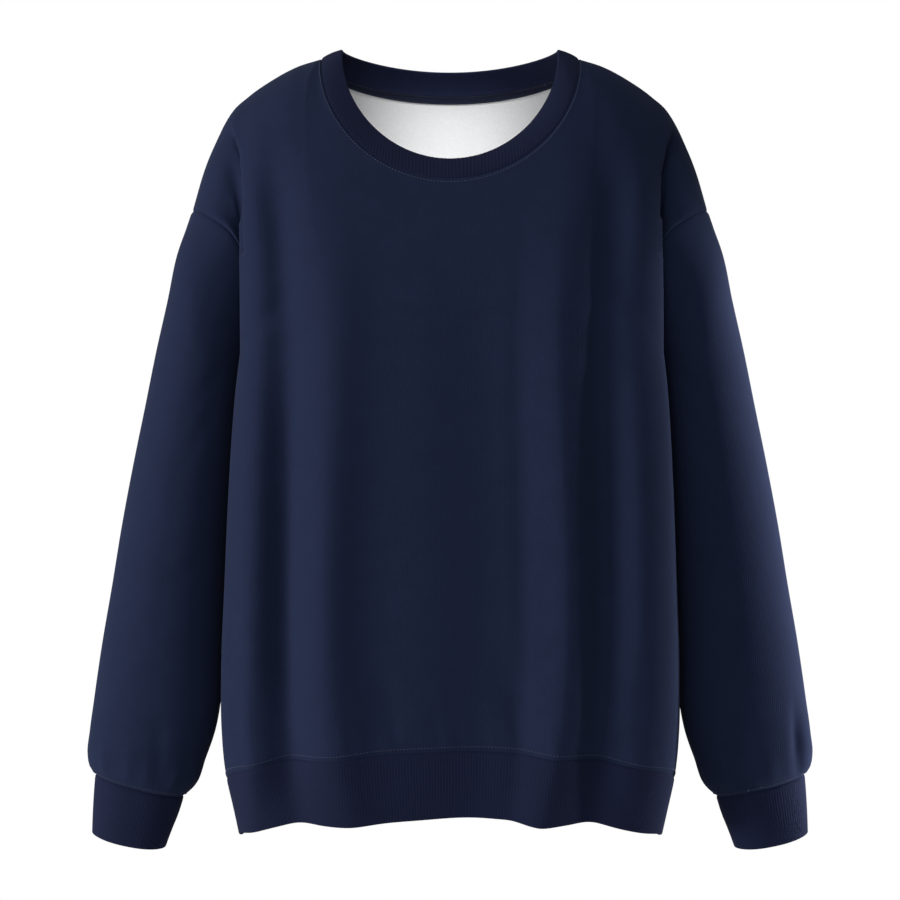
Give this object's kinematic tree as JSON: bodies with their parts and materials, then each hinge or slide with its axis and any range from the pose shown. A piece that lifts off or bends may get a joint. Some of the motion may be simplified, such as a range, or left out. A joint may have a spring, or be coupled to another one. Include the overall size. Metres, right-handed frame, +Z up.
{
  "type": "crewneck sweatshirt",
  "caption": "Plain crewneck sweatshirt with dropped shoulders, ribbed neckband, hem and cuffs, filled out as when worn, hollow and open at neck, hem and cuffs.",
  "frame": {"origin": "base of the neck, midway between the two points where the neckband crosses the shoulder seams", "axes": "+Z up, -Y to the front of the garment, +X to the wearer's left"},
  "size_m": [0.6634, 0.2412, 0.7353],
  "materials": {
    "fleece": "matt navy sweatshirt fleece",
    "rib": "matt navy rib knit",
    "tape": "matt navy cotton tape"
  },
  "bodies": {
    "root": {"body_front": "fleece", "body_back": "fleece", "sleeve_left": "fleece", "sleeve_right": "fleece", "neckband": "rib", "hem_band": "rib", "cuff_left": "rib", "cuff_right": "rib", "neck_tape": "tape"}
  },
  "joints": []
}
